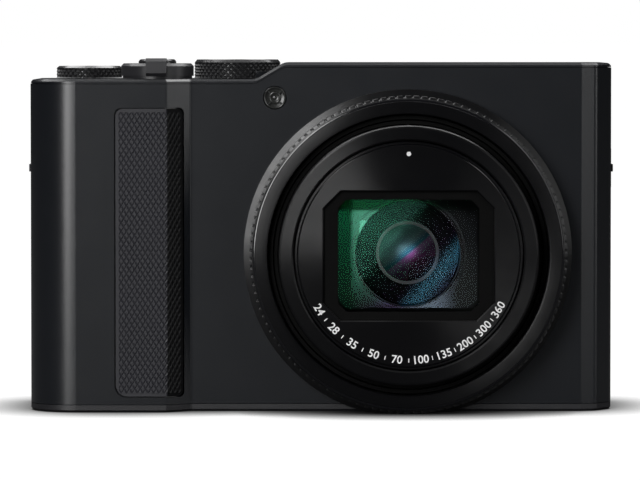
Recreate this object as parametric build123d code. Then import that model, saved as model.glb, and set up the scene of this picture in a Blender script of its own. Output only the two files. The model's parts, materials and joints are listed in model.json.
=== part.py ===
from build123d import *
import math
import os

# A compact digital camera with a long zoom lens, in millimetres.
# X runs to the right as seen by the person being photographed, Y runs from the lens to the screen, Z is up.
# The origin is under the middle of the camera, on the face it rests on.

# ---- casing ----
HALF_WIDTH = 55.6
RIGHT_TOP = 66.4
LEFT_TOP = 63.3
STEP_FOOT_X = -12.4
STEP_HEAD_X = -7.2
DEPTH = 45.2
LENS_FACE = -DEPTH / 2
EYEPIECE_FACE = DEPTH / 2
FRONT = LENS_FACE + 12.0
GRIP_FRONT = FRONT - 3.5
BACK = EYEPIECE_FACE - 3.2
PARTING = 3.0
WALL = 1.5
TOP_PLATE = 1.8
TOP_BAND = 0.8
BASE_PLATE = 1.4
SEAM = 0.1
GRIP_EDGE_X = -29.3
GRIP_FOOT_X = -24.8
CREASE_X = 49.6
FACET_X = 52.6
FACET_DROP = 1.1
SIDE_START = 5.6
REACH = 90.0

# ---- lens, all on one axis along Y ----
LENS_X = 16.5
LENS_Z = 30.2
FLANGE_R = 31.2
FLANGE_FACE = FRONT - 2.2
RING_R = 30.05
RING_INNER = 26.6
RING_FACE = FRONT - 8.6
HOUSING_R = 26.3
HOUSING_INNER = 25.65
HOUSING_FACE = FRONT - 6.8
HOUSING_BACK = 8.2
DRUM_R = 28.5
DRUM_INNER = 27.8
DRUM_FRONT = 3.8
CAM_R = 25.4
CAM_INNER = 24.75
CAM_BACK = 7.6
OUTER_R = 24.55
OUTER_INNER = 21.75
OUTER_BACK = 6.9
INNER_R = 21.5
INNER_INNER = 19.8
INNER_BACK = 5.9
BEZEL_R = 20.95
WINDOW = (32.2, 24.4)
WINDOW_CORNER = 3.3
THROAT = (26.6, 21.2)
BLADE_POCKET_R = 20.7
BLADE_R = 20.4
BLADE_HEIGHT = 6.1
BLADE_HALF_WIDTH = 14.2
BLADE_THICK = 0.3
FRONT_GLASS_R = 16.2
MIDDLE_GLASS_R = 9.9
REAR_GLASS_R = 5.9

# ---- zoom gearing: the cam barrel's ring gear and the motor's pinion ----
GEAR_MODULE = 0.6
RING_TEETH = 88
PINION_TEETH = 10
GEAR_FRONT = 4.4
GEAR_BACK = 7.4
PINION_ANGLE = math.radians(140)
GEAR_CENTRES = GEAR_MODULE * (RING_TEETH + PINION_TEETH) / 2 + 0.08
PINION_X = LENS_X + GEAR_CENTRES * math.cos(PINION_ANGLE)
PINION_Z = LENS_Z + GEAR_CENTRES * math.sin(PINION_ANGLE)

# ---- controls on the top ----
MODE_DIAL = (-16.1, 2.0)
MODE_DIAL_R = 8.3
MODE_DIAL_TOP = 67.0
SHUTTER = (-31.3, -5.2)
SHUTTER_R = 3.6
SHUTTER_TOP = 67.1
LEVER_R = 6.95
LEVER_TOP = 66.3
REAR_DIAL = (-45.0, 9.4)
REAR_DIAL_R = 6.4
REAR_DIAL_TOP = 65.7
MOVIE = (-44.6, -6.4)
MOVIE_R = 2.4
SWITCH = (-33.6, 12.6)
SWITCH_TRAVEL = 3.0
FLASH_X = (-4.5, 19.5)
FLASH_PIVOT = (7.0, 65.2)
FLASH_REACH = 13.55
FLASH_SWITCH = (28.0, 7.4)

# ---- back ----
SCREEN_X = (-16.0, 52.0)
SCREEN_Z = (4.0, 50.0)
EVF_X = (22.0, 45.0)
EVF_Z = (51.2, 64.0)
DIOPTRE = (48.6, 57.4)
DIOPTRE_R = 2.8
PAD = (-35.5, 24.0)
PAD_R = 9.0
SET_R = 4.2
BUTTON_R = 2.7
BUTTONS = {
    "menu_button": (-22.5, 40.5),
    "playback_button": (-45.5, 8.2),
    "delete_button": (-25.5, 8.2),
}

# ---- battery bay, doors, sockets ----
BATTERY_X = (-51.6, -19.6)
BATTERY_Y = (-8.1, 1.5)
BATTERY_TOP = 46.0
DOOR_HINGE = (-17.6, 1.0)
DOOR_END_X = -53.4
DOOR_Y = (-8.8, 8.4)
PORT_HINGE = (-HALF_WIDTH + 0.9, 13.6)
PORT_FRONT = 4.4
PORT_Z = (13.0, 38.0)
BUSH = (-9.5, 4.0)
BUSH_BORE = 2.6
GRIP_PAD_X = (-39.0, -26.3)
GRIP_PAD_Z = (3.1, 57.7)
GRIP_PAD_CORNERS = [2.3, 1.0, 1.0, 1.4]
GRIP_PAD_THICK = 0.8
THUMB_X = (-52.5, -38.5)
THUMB_Z = (33.5, 61.0)
LUG_Z = (42.4, 50.0)
LUG_Y = (-2.2, 2.2)
SIDE_SCREWS = [(-1.5, 5.0), (-1.5, 57.0)]
AF_LAMP = (-8.8, 59.8)
AF_LAMP_R = 2.1


def block(x, y, z):
    """A box from its low and high limits along X, Y and Z."""
    size = (x[1] - x[0], y[1] - y[0], z[1] - z[0])
    return Pos((x[0] + x[1]) / 2, (y[0] + y[1]) / 2, (z[0] + z[1]) / 2) * Box(*size)


def upright(place, radius, low, high):
    """A cylinder along Z."""
    return Pos(place[0], place[1], (low + high) / 2) * Cylinder(radius, high - low)


def fore_aft(place, radius, front, back):
    """A cylinder along Y, at an X and a Z."""
    return Pos(place[0], (front + back) / 2, place[1]) * Rot(90, 0, 0) * Cylinder(radius, back - front)


def crosswise(place, radius, left, right):
    """A cylinder along X, at a Y and a Z."""
    return Pos((left + right) / 2, place[0], place[1]) * Rot(0, 90, 0) * Cylinder(radius, right - left)


def prism_y(face, front, back):
    """A face drawn in X and Z, extruded along Y."""
    return extrude(Plane.XZ.offset(-back) * face, back - front)


def prism_z(face, low, high):
    """A face drawn in X and Y, extruded along Z."""
    return extrude(Plane.XY.offset(low) * face, high - low)


def rounded(width, height, radius):
    return RectangleRounded(width, height, radius)


def lens_tube(outer, inner, front, back):
    axis = (LENS_X, LENS_Z)
    return fore_aft(axis, outer, front, back) - fore_aft(axis, inner, front - 1, back + 1)


def turned(points):
    """A ring turned about the lens axis from its section: a radius and a Y for each corner."""
    corners = [(LENS_X + radius, y) for radius, y in points]
    section = Plane.XY.offset(LENS_Z) * make_face(Polyline(*corners, close=True))
    return revolve(section, Axis((LENS_X, 0, LENS_Z), (0, 1, 0)))


# ---- outlines of the casing ----
def plan(inset=0.0):
    """The casing from above: the grip bulges forward at the left, and the right front edge has a facet."""
    corners = [
        (-HALF_WIDTH, BACK),
        (-HALF_WIDTH, GRIP_FRONT),
        (GRIP_EDGE_X, GRIP_FRONT),
        (GRIP_FOOT_X, FRONT),
        (CREASE_X, FRONT),
        (FACET_X, FRONT + FACET_DROP),
        (HALF_WIDTH, FRONT + SIDE_START),
        (HALF_WIDTH, BACK),
    ]
    radii = [4.0, 9.0, 0.5, 0.8, 0.0, 2.0, 3.0, 4.0]
    outline = make_face(FilletPolyline(*corners, radius=radii, close=True))
    return offset(outline, -inset, kind=Kind.INTERSECTION) if inset else outline


def elevation(drop=0.0, bottom=0.0, widen=0.0, corner=1.0):
    """The casing from the front: the left deck is lower, and a slope climbs to the raised right part."""
    edge = HALF_WIDTH + widen
    corners = [
        (-edge, bottom),
        (edge, bottom),
        (edge, RIGHT_TOP - drop),
        (STEP_HEAD_X, RIGHT_TOP - drop),
        (STEP_FOOT_X, LEFT_TOP - drop),
        (-edge, LEFT_TOP - drop),
    ]
    radii = [0.0, 0.0, corner, 3.4, 3.4, corner]
    return make_face(FilletPolyline(*corners, radius=radii, close=True))


def casing():
    return prism_z(plan(), 0, REACH) & prism_y(elevation(), -REACH, REACH)


def casing_wall():
    """The open wall between the bottom plate and the top cover."""
    under_top = elevation(drop=TOP_BAND + SEAM, bottom=BASE_PLATE + SEAM, widen=5, corner=0)
    wall = prism_z(plan(), 0, REACH) - prism_z(plan(WALL), -1, REACH + 1)
    return wall & prism_y(under_top, -REACH, REACH)


def grip_band(thickness, margin):
    """The strip of casing skin that the grip insert covers, to a depth below the surface."""
    left, right = GRIP_PAD_X[0] - margin, GRIP_PAD_X[1] + margin
    low, high = GRIP_PAD_Z[0] - margin, GRIP_PAD_Z[1] + margin
    corners = (left, low), (right, low), (right, high), (left, high)
    outline = FilletPolyline(*corners, radius=GRIP_PAD_CORNERS, close=True)
    window = prism_y(make_face(outline), GRIP_FRONT - 5, FRONT + 5)
    return (prism_z(plan(), 0, REACH) - prism_z(plan(thickness), -1, REACH)) & window


def front_cover():
    cover = casing_wall() & block((-REACH, REACH), (-REACH, PARTING), (0, REACH))
    cover -= fore_aft((LENS_X, LENS_Z), HOUSING_R + 0.4, -REACH, FRONT + 3)
    cover -= fore_aft(AF_LAMP, AF_LAMP_R + 0.15, -REACH, FRONT + 3)
    cover -= grip_band(GRIP_PAD_THICK + 0.05, 0.25)
    cover -= lug_slots()
    cover -= side_screw_holes()
    return cover


def rear_cover():
    cover = casing_wall() & block((-REACH, REACH), (PARTING + SEAM, REACH), (0, REACH))
    behind = (BACK - 3, BACK + 3)
    cover -= block((SCREEN_X[0] - 0.1, SCREEN_X[1] + 0.1), behind, (SCREEN_Z[0] - 0.1, SCREEN_Z[1] + 0.1))
    cover -= block((EVF_X[0] - 0.1, EVF_X[1] + 0.1), behind, (EVF_Z[0] - 0.1, EVF_Z[1] + 0.1))
    cover -= thumb_outline(0.1, (BACK - 0.8, BACK + 5))
    cover -= fore_aft(PAD, PAD_R + 0.25, *behind)
    for place in BUTTONS.values():
        cover -= fore_aft(place, BUTTON_R + 0.2, *behind)
    cover -= fore_aft(DIOPTRE, 1.05, *behind)
    cover -= port_opening()
    cover -= side_screw_holes()
    return cover


def top_outer_edges(deck):
    """The rim of the decks and of the slope between them, without the lines where the slope meets them."""
    rim = []
    for edge in deck.edges():
        centre = edge.center()
        climbed = min(1.0, max(0.0, (centre.X - STEP_FOOT_X) / (STEP_HEAD_X - STEP_FOOT_X)))
        deck_height = LEFT_TOP + climbed * (RIGHT_TOP - LEFT_TOP)
        crosses_deck = abs(edge.tangent_at(0.5).Y) > 0.9 and abs(centre.X) < 30
        if centre.Z > deck_height - 0.15 and not crosses_deck:
            rim.append(edge)
    return rim


def top_cover():
    cover = casing() - prism_y(elevation(drop=TOP_BAND, bottom=-5, widen=5, corner=0), -REACH, REACH)
    cover = chamfer(top_outer_edges(cover), 0.4)
    inside = prism_z(plan(WALL + SEAM), 0, REACH) & prism_y(elevation(drop=TOP_BAND / 2), -REACH, REACH)
    cover += inside - prism_y(elevation(drop=TOP_PLATE, bottom=-5, widen=5, corner=0), -REACH, REACH)
    well = upright(MODE_DIAL, MODE_DIAL_R + 2.2, LEFT_TOP - TOP_PLATE, RIGHT_TOP - TOP_PLATE + 0.2)
    cover += well & block((STEP_FOOT_X, 0), (-REACH, REACH), (0, REACH))
    cover -= upright(MODE_DIAL, MODE_DIAL_R + 0.35, LEFT_TOP, REACH)
    cover -= upright(MODE_DIAL, 2.05, 0, REACH)
    cover -= upright(REAR_DIAL, 1.55, 0, REACH)
    cover -= upright(SHUTTER, 4.7, 0, REACH)
    cover -= upright(MOVIE, MOVIE_R + 0.2, 0, REACH)
    cover -= switch_slot(SWITCH, 6.0 + SWITCH_TRAVEL + 0.4, 3.0, (0, REACH))
    cover -= switch_slot(FLASH_SWITCH, 7.4, 2.6, (0, REACH))
    cover -= block((FLASH_X[0] - 0.25, FLASH_X[1] + 0.25),
                   (FLASH_PIVOT[0] - FLASH_REACH - 0.25, FLASH_PIVOT[0] + 1.5), (0, REACH))
    for x in (29.0, 44.0):
        cover -= upright((x, -2.0), 0.5, 0, REACH)
    return cover


def switch_slot(place, length, width, z):
    return prism_z(Pos(*place) * SlotOverall(length, width), *z)


def bottom_plate():
    plate = casing() & block((-REACH, REACH), (-REACH, REACH), (0, BASE_PLATE))
    rim = plate.edges().filter_by(lambda edge: edge.center().Z < 0.01)
    plate = chamfer(rim, 0.45)
    plate -= upright(BUSH, 5.05, -1, 5)
    plate -= block((DOOR_END_X - 0.2, DOOR_HINGE[0] + 1.25), (DOOR_Y[0] - 0.2, DOOR_Y[1] + 0.2), (-1, 5))
    for place in base_screw_places():
        plate -= upright(place, 1.5, -1, 0.75)
        plate -= upright(place, 0.75, -1, 5)
    for step in range(5):
        plate -= upright((45.4 + 1.8 * step, -1.0), 0.45, -1, 5)
    return plate


def base_screw_places():
    return [(-8.0, 16.6), (28.0, 16.6), (50.0, 16.0), (-48.0, 16.0), (2.0, -7.6), (38.0, -7.6)]


def base_screws():
    screws = [screw(0.7, 1.4, 0.6) for _ in base_screw_places()]
    return [Pos(x, y, 0.12) * one for (x, y), one in zip(base_screw_places(), screws)]


def screw(shank_r, head_r, head_height, length=4.2):
    """A screw pointing up from its head, with a cross slot in the head."""
    body = upright((0, 0), head_r, 0, head_height) + upright((0, 0), shank_r, head_height, length)
    for turn in (0, 90):
        body -= Rot(0, 0, turn) * block((-0.8, 0.8), (-0.17, 0.17), (-1, 0.35))
    return body


def side_screw_holes():
    holes = []
    for side in (-1, 1):
        for radius, depth in ((1.5, 0.75), (0.75, 6.0)):
            low, high = sorted((side * REACH, side * (HALF_WIDTH - depth)))
            holes += [crosswise(place, radius, low, high) for place in SIDE_SCREWS]
    return holes


def side_screws():
    screws = []
    for y, z in SIDE_SCREWS:
        for side in (-1, 1):
            seat = Pos(side * (HALF_WIDTH - 0.1), y, z) * Rot(0, -90 * side, 0)
            screws.append(seat * screw(0.7, 1.4, 0.6, 2.8))
    return screws


def grip_insert():
    return grip_band(GRIP_PAD_THICK, 0.0)


def thumb_outline(margin, y):
    width = THUMB_X[1] - THUMB_X[0] + 2 * margin
    height = THUMB_Z[1] - THUMB_Z[0] + 2 * margin
    middle = (sum(THUMB_X) / 2, sum(THUMB_Z) / 2)
    return prism_y(Pos(*middle) * rounded(width, height, 2.5 + margin), *y)


def thumb_rest():
    pad = thumb_outline(0.0, (BACK - 0.75, BACK + 1.9))
    return chamfer(pad.faces().sort_by(Axis.Y)[-1].edges(), 1.2)


def lug_slots():
    slots = block((-REACH, -HALF_WIDTH + 0.7), LUG_Y, LUG_Z)
    return slots + block((HALF_WIDTH - 0.7, REACH), LUG_Y, LUG_Z)


def strap_lugs():
    """A plate with a window at each side, and a bar across the window for the strap's cord."""
    lugs = []
    for side in (-1, 1):
        plate = block((-0.6, 0.15), (LUG_Y[0] + 0.1, LUG_Y[1] - 0.1), (LUG_Z[0] + 0.1, LUG_Z[1] - 0.1))
        plate -= block((-0.2, 1), (-1.4, 1.4), (43.6, 48.8))
        plate += block((-0.3, 0.5), (-2.0, 2.0), (45.5, 46.9))
        plate -= block((-0.2, 0.1), (-1.4, 1.4), (45, 47.5))
        turned_plate = plate if side > 0 else Rot(0, 0, 180) * plate
        lugs.append(Pos(side * HALF_WIDTH, 0, 0) * turned_plate)
    return lugs


def main_chassis():
    """A pressed plate behind the lens, cut away round the sensor and screws, with a foot on the base."""
    plate = block((-52.0, 52.0), (12.4, 13.2), (BASE_PLATE + 0.1, 50.0))
    foot = block((-16.0, 52.0), (10.6, 13.2), (BASE_PLATE + 0.1, BASE_PLATE + 0.9))
    plate += foot & block((-16, -10), (0, 20), (0, 9)) + foot & block((31, 47), (0, 20), (0, 9))
    plate -= block((LENS_X - 11, LENS_X + 11), (0, 20), (LENS_Z - 9, LENS_Z + 9))
    for x in (-44.0, -30.0, 36.0):
        plate -= prism_y(Pos(x, 26) * rounded(8, 22, 2), 0, 20)
    return plate


def main_board():
    """The circuit board behind the chassis, with its shielded processor and other packages."""
    board = block((-51.0, 51.0), (13.4, 14.4), (3.0, 49.0))
    board -= fore_aft(PAD, 2.0, 0, 20)
    chips = (-6, 30, 14, 14), (14, 30, 11, 12), (32, 36, 9, 9), (40, 16, 12, 8), (-6, 12, 9, 7)
    for x, z, width, height in chips:
        board += block((x - width / 2, x + width / 2), (14.4, 15.2), (z - height / 2, z + height / 2))
    return board


def image_sensor():
    """The sensor on its small board, with the package's rim round the recessed chip."""
    centre = Pos(LENS_X, 0, LENS_Z)
    package = block((-10, 10), (10.0, 11.4), (-8, 8)) - block((-7.2, 7.2), (9, 10.5), (-5.2, 5.2))
    carrier = block((-12, 12), (11.4, 12.2), (-9.5, 9.5))
    return centre * (package + carrier - block((-11, -9.9), (9, 13), (-9, 9)))


def flash_capacitor():
    return upright((49.6, 1.0), 3.8, 8.0, 40.0) + upright((49.6, 1.0), 3.2, 40.0, 40.8)


def speaker():
    return upright((49.0, -1.0), 4.2, BASE_PLATE + 0.1, 3.6) + upright((49.0, -1.0), 2.6, 3.6, 4.6)


def microphones():
    return [upright((x, -2.0), 1.9, 62.6, 64.5) for x in (29.0, 44.0)]


def af_lamp():
    lamp = fore_aft(AF_LAMP, AF_LAMP_R, FRONT + 0.1, FRONT + 2.4)
    return lamp + fore_aft(AF_LAMP, AF_LAMP_R + 0.8, FRONT + WALL + 0.05, FRONT + 2.4)


# ---- battery bay, doors and sockets ----
def battery():
    cell = block(BATTERY_X, BATTERY_Y, (2.8, BATTERY_TOP))
    return chamfer(cell.edges().filter_by(Axis.Z), 1.0)


def battery_box():
    """Thin walls round the battery and the card, open underneath."""
    box = block((BATTERY_X[0] - 0.8, BATTERY_X[1] + 0.8), (BATTERY_Y[0] - 0.8, 8.2), (3.0, BATTERY_TOP + 1.2))
    box -= block((BATTERY_X[0] - 0.2, BATTERY_X[1] + 0.2), (BATTERY_Y[0] - 0.2, BATTERY_Y[1] + 0.2),
                 (0, BATTERY_TOP + 0.3))
    box -= block((-46.4, -21.6), (2.4, 5.2), (0, 36.4))
    box -= block((-REACH, REACH), (6.4, REACH), (0, REACH))
    return box


def memory_card():
    card = block((-46.0, -22.0), (2.8, 4.9), (3.2, 35.2))
    return card - Pos(-22.0, 4, 35.2) * Rot(0, 45, 0) * Box(5.6, 9, 5.6)


def battery_door():
    """The door turns on its round inner edge, and a lip inside it presses on the battery."""
    door = block((DOOR_END_X, DOOR_HINGE[0]), DOOR_Y, (0, BASE_PLATE))
    hinge = Pos(DOOR_HINGE[0], sum(DOOR_Y) / 2, DOOR_HINGE[1])
    door += hinge * Rot(90, 0, 0) * Cylinder(1.0, DOOR_Y[1] - DOOR_Y[0])
    door += block((BATTERY_X[0] + 1, BATTERY_X[1] - 4), (-7.4, 0.2), (BASE_PLATE, 2.5))
    door -= block((-51.2, -43.8), (1.6, 4.8), (-1, 0.9))
    return door


def door_latch():
    latch = block((-50.8, -47.2), (1.8, 4.6), (0.0, 0.8))
    for step in range(4):
        latch -= block((-50.2 + 0.8 * step, -49.8 + 0.8 * step), (0, 9), (-1, 0.25))
    return latch


def port_opening():
    hinge = PORT_HINGE[1] + 1.05
    return block((-REACH, -HALF_WIDTH + WALL + 1), (PORT_FRONT - 0.2, hinge),
                 (PORT_Z[0] - 0.2, PORT_Z[1] + 0.2))


def port_door():
    door = block((-HALF_WIDTH, -HALF_WIDTH + 1.3), (PORT_FRONT, PORT_HINGE[1]), PORT_Z)
    door += upright(PORT_HINGE, 0.88, *PORT_Z)
    door -= block((-HALF_WIDTH - 1, -HALF_WIDTH + 0.4), (PORT_FRONT - 1, PORT_FRONT + 0.8), (22.5, 28.5))
    return door


def sockets():
    """The USB and HDMI sockets, each a metal shell round a tongue, mouth towards the port door."""
    shells = []
    for low, high in ((15.6, 24.6), (27.4, 35.8)):
        shell = block((-53.6, -47.0), (7.4, 11.0), (low, high))
        shell -= block((-60, -47.6), (7.8, 10.6), (low + 0.4, high - 0.4))
        shell += block((-52.4, -47.0), (8.9, 9.5), (low + 1.6, high - 1.6))
        shells.append(shell)
    return shells


def tripod_bush():
    bush = upright(BUSH, 5.0, 0.1, 7.0) - upright(BUSH, BUSH_BORE, 0, 6.0)
    return bush + (upright(BUSH, 6.4, BASE_PLATE + 0.05, 3.0) - upright(BUSH, 4.9, 0, 9))


# ---- viewfinder and screen ----
def evf_housing():
    """The tube of the viewfinder, with an oval recess round its eyepiece."""
    middle = (sum(EVF_X) / 2, sum(EVF_Z) / 2)
    width, height = EVF_X[1] - EVF_X[0], EVF_Z[1] - EVF_Z[0]
    housing = prism_y(Pos(*middle) * rounded(width, height, 1.4), 10.4, EYEPIECE_FACE)
    housing = chamfer(housing.faces().sort_by(Axis.Y)[-1].edges(), 0.8)
    housing -= prism_y(Pos(*middle) * rounded(15.0, 10.0, 3.5), EYEPIECE_FACE - 1.9, REACH)
    housing -= prism_y(Pos(*middle) * rounded(11.6, 8.4, 2.5), 12.0, REACH)
    return housing


def eyepiece_glass():
    middle = (sum(EVF_X) / 2, sum(EVF_Z) / 2)
    return prism_y(Pos(*middle) * rounded(14.8, 9.8, 3.4), EYEPIECE_FACE - 1.85, EYEPIECE_FACE - 0.95)


def dioptre_dial():
    dial = fore_aft(DIOPTRE, DIOPTRE_R, BACK + 0.15, BACK + 1.9)
    return dial + fore_aft(DIOPTRE, 1.0, BACK - 3, BACK + 0.2)


def lcd_glass():
    glass = block(SCREEN_X, (BACK - 0.9, BACK + 0.3), SCREEN_Z)
    return chamfer(glass.faces().sort_by(Axis.Y)[-1].edges(), 0.25)


def lcd_module():
    return block((SCREEN_X[0] + 1, SCREEN_X[1] - 1), (BACK - 3.7, BACK - 1.0),
                 (SCREEN_Z[0] + 1, SCREEN_Z[1] - 1))


def press_button(place, radius, proud):
    """A round button with a flange behind the cover that stops it falling out."""
    cap = fore_aft(place, radius, BACK - 1.6, BACK + proud)
    cap = chamfer(cap.edges().sort_by(Axis.Y)[-1], 0.25)
    return cap + fore_aft(place, radius + 0.5, BACK - WALL - 0.9, BACK - WALL - 0.1)


def four_way_pad():
    pad = fore_aft(PAD, PAD_R, BACK - 1.6, BACK + 0.8)
    pad = chamfer(pad.edges().sort_by(Axis.Y)[-1], 0.5)
    pad += fore_aft(PAD, PAD_R + 0.7, BACK - WALL - 0.9, BACK - WALL - 0.1)
    return pad - fore_aft(PAD, SET_R + 0.25, -REACH, REACH)


def set_button():
    button = fore_aft(PAD, SET_R, BACK - 2.4, BACK + 0.6)
    return chamfer(button.edges().sort_by(Axis.Y)[-1], 0.3)


# ---- top controls ----
def dial(place, radius, low, high, bevel, spindle):
    disc = upright(place, radius, low, high)
    disc = chamfer(disc.edges().sort_by(Axis.Z)[-1], bevel)
    return disc + upright(place, spindle, low - 5.0, low + 0.2)


def mode_dial():
    return dial(MODE_DIAL, MODE_DIAL_R, LEFT_TOP + 0.15, MODE_DIAL_TOP, 0.6, 2.0)


def rear_dial():
    return dial(REAR_DIAL, REAR_DIAL_R, LEFT_TOP + 0.15, REAR_DIAL_TOP, 0.35, 1.5)


def zoom_lever():
    """A ring round the shutter button, with a tab at its front and a collar down through the top cover."""
    x, y = SHUTTER
    lever = upright(SHUTTER, LEVER_R, LEFT_TOP + 0.6, LEVER_TOP)
    lever = chamfer(lever.edges().sort_by(Axis.Z)[-1], 0.5)
    lever += upright(SHUTTER, LEVER_R - 0.3, LEFT_TOP + 0.12, LEFT_TOP + 0.7)
    tab = block((x - 1.95, x + 1.95), (y - LEVER_R - 1.4, y - LEVER_R + 1.6),
                (LEFT_TOP + 0.6, SHUTTER_TOP + 0.2))
    lever += chamfer(tab.edges().filter_by(Axis.X), 0.6)
    lever += upright(SHUTTER, 4.6, LEFT_TOP - 2.6, LEFT_TOP + 1)
    lever -= upright(SHUTTER, SHUTTER_R + 0.25, LEFT_TOP + 0.9, REACH)
    return lever - upright(SHUTTER, 1.9, 0, REACH)


def shutter_button():
    cap = upright(SHUTTER, SHUTTER_R, SHUTTER_TOP - 1.6, SHUTTER_TOP)
    cap = fillet(cap.edges().sort_by(Axis.Z)[-1], 0.6)
    return cap + upright(SHUTTER, 1.6, LEFT_TOP - 3.4, SHUTTER_TOP - 1.5)


def movie_button():
    cap = upright(MOVIE, MOVIE_R, LEFT_TOP - TOP_PLATE - 0.2, LEFT_TOP - 0.05)
    cap = chamfer(cap.edges().sort_by(Axis.Z)[-1], 0.2)
    return cap + upright(MOVIE, MOVIE_R + 0.6, LEFT_TOP - TOP_PLATE - 0.9, LEFT_TOP - TOP_PLATE - 0.1)


def power_switch():
    return slider((SWITCH[0] - SWITCH_TRAVEL / 2, SWITCH[1]), 6.0, 2.6, LEFT_TOP, 0.8)


def flash_switch():
    return slider((FLASH_SWITCH[0] - 1.0, FLASH_SWITCH[1]), 5.0, 2.2, RIGHT_TOP, 0.0)


def slider(place, length, width, deck, proud):
    knob = prism_z(Pos(*place) * SlotOverall(length, width), deck - TOP_PLATE - 0.3, deck + proud)
    for step in (-1, 0, 1):
        groove = place[0] + 0.9 * step
        knob -= block((groove - 0.2, groove + 0.2), (place[1] - 5, place[1] + 5),
                      (deck + proud - 0.25, REACH))
    foot = Pos(*place) * SlotOverall(length + 1.2, width + 1.2)
    return knob + prism_z(foot, deck - TOP_PLATE - 0.9, deck - TOP_PLATE - 0.1)


def flash_head():
    """The flash flips up about its rear edge, so its front is part of a cylinder about that pivot."""
    y, z = FLASH_PIVOT
    head = block(FLASH_X, (y - FLASH_REACH - 1, y), (60.2, RIGHT_TOP))
    head = head & crosswise(FLASH_PIVOT, FLASH_REACH, FLASH_X[0] - 1, FLASH_X[1] + 1)
    head -= block((FLASH_X[0] - 1, FLASH_X[1] + 1), (y - 2.6, REACH), (0, z - 1.2))
    head += crosswise(FLASH_PIVOT, RIGHT_TOP - z, *FLASH_X)
    return head - flash_mouth()


def flash_mouth():
    """The pocket in the head's front that the flash window fills."""
    y = FLASH_PIVOT[0] - FLASH_REACH
    return block((FLASH_X[0] + 3, FLASH_X[1] - 3), (y - 2, y + 2.2), (60.9, 65.2))


def flash_window():
    mouth = flash_mouth() & crosswise(FLASH_PIVOT, FLASH_REACH - 0.1, *FLASH_X)
    return mouth & block((FLASH_X[0] + 3.05, FLASH_X[1] - 3.05), (-REACH, -4.4), (60.95, 65.15))


# ---- lens ----
def lens_flange():
    """The fixed ring on the front cover: its face falls away gently outside the control ring."""
    ring = turned([
        (FLANGE_R, FRONT), (FLANGE_R, FLANGE_FACE + 0.25), (RING_R, FLANGE_FACE),
        (HOUSING_R + 0.25, FLANGE_FACE), (HOUSING_R + 0.25, FRONT),
    ])
    return ring & block((-REACH, REACH), (-REACH, REACH), (0.05, REACH))


def control_ring():
    """The ring turns for ever; its broad front dips a little towards its bore, which clears the housing."""
    back = FLANGE_FACE - 0.15
    return turned([
        (RING_R, back), (RING_R, RING_FACE + 0.7), (29.7, RING_FACE + 0.6), (29.0, RING_FACE),
        (26.9, RING_FACE + 0.25), (RING_INNER, RING_FACE + 0.6), (RING_INNER, back),
    ])


def lens_housing():
    """The fixed tube, with a drum round the ring gear at its rear and a wall that carries the sensor."""
    axis = (LENS_X, LENS_Z)
    housing = lens_tube(HOUSING_R, HOUSING_INNER, HOUSING_FACE, GEAR_FRONT - 0.4)
    housing += lens_tube(DRUM_R, HOUSING_INNER, DRUM_FRONT - 0.6, GEAR_FRONT - 0.2)
    housing += lens_tube(DRUM_R, DRUM_INNER, DRUM_FRONT - 0.6, HOUSING_BACK + 1.6)
    housing += fore_aft(axis, DRUM_R, HOUSING_BACK, HOUSING_BACK + 1.6)
    housing -= block((LENS_X - 7.4, LENS_X + 7.4), (0, 20), (LENS_Z - 5.4, LENS_Z + 5.4))
    housing -= fore_aft((PINION_X, PINION_Z), 3.9, DRUM_FRONT - 1, HOUSING_BACK + 3)
    housing -= fore_aft((PINION_X, PINION_Z), 3.1, -REACH, DRUM_FRONT)
    return housing


def gear_face(teeth, module, start):
    """Trapezoid teeth, a little thinner than their gaps, so a pair runs with backlash."""
    pitch = math.tau / teeth
    root, tip = module * (teeth / 2 - 1.2), module * (teeth / 2 + 0.95)
    corners = []
    for tooth in range(teeth):
        centre = start + tooth * pitch
        for radius, share in ((root, -0.34), (tip, -0.11), (tip, 0.11), (root, 0.34)):
            angle = centre + share * pitch
            corners.append((radius * math.cos(angle), radius * math.sin(angle)))
    return make_face(Polyline(*corners, close=True))


def cam_barrel():
    """The rotating barrel that drives the zoom, with a ring gear at its rear and no cam slots cut."""
    barrel = lens_tube(CAM_R, CAM_INNER, HOUSING_FACE + 0.6, CAM_BACK)
    ring = prism_y(gear_face(RING_TEETH, GEAR_MODULE, PINION_ANGLE), GEAR_FRONT, GEAR_BACK)
    ring = Pos(LENS_X, 0, LENS_Z) * ring
    return barrel + ring - fore_aft((LENS_X, LENS_Z), CAM_INNER, -REACH, REACH)


def zoom_gear():
    """The pinion meshes with the ring gear, a gap facing a tooth."""
    start = PINION_ANGLE + math.pi + math.pi / PINION_TEETH
    pinion = prism_y(gear_face(PINION_TEETH, GEAR_MODULE, start), GEAR_FRONT, GEAR_BACK)
    pinion = Pos(PINION_X, 0, PINION_Z) * pinion
    return pinion - fore_aft((PINION_X, PINION_Z), 0.6, 0, 20)


def zoom_motor():
    place = (PINION_X, PINION_Z)
    shaft = fore_aft(place, 0.55, GEAR_FRONT - 0.6, GEAR_BACK + 0.4)
    return fore_aft(place, 2.9, -8.5, GEAR_FRONT - 0.5) + shaft


def barrel_outer():
    """The first moving barrel, with a rounded rim and a shallow groove inside its front face."""
    return turned([
        (OUTER_R, OUTER_BACK), (OUTER_R, LENS_FACE + 0.45), (OUTER_R - 0.2, LENS_FACE + 0.1),
        (OUTER_R - 0.5, LENS_FACE), (22.05, LENS_FACE), (OUTER_INNER, LENS_FACE + 0.35),
        (OUTER_INNER, OUTER_BACK),
    ])


def window_face(size, corner):
    width, height = size
    return Pos(LENS_X, LENS_Z) * chamfer(Rectangle(width, height).vertices(), corner)


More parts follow.
